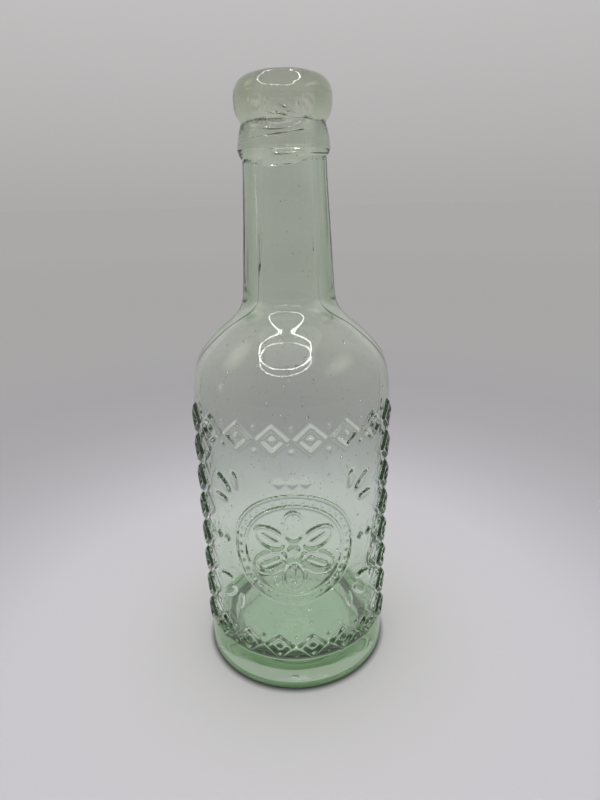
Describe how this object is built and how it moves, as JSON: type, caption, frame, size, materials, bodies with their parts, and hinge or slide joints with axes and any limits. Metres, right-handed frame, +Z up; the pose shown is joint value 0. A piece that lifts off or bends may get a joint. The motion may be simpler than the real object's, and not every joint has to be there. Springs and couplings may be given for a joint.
{
  "type": "bottle",
  "caption": "Small mouth-blown mineral-water bottle in pale green glass, with rounded shoulders, a tapering neck, a flared collar and a blob lip.",
  "frame": {"origin": "middle of the circle that the bottle stands on", "axes": "+Z up the bottle's axis towards its mouth, -Y towards the side with the raised design"},
  "size_m": [0.065, 0.0659, 0.1901],
  "materials": {
    "body_glass": "clear pale green glass, slightly uneven from the mould",
    "finish_glass": "clear pale green glass, tooled by hand"
  },
  "bodies": {
    "root": {"glass_body": "body_glass", "applied_collar": "finish_glass", "applied_lip": "finish_glass"}
  },
  "joints": []
}
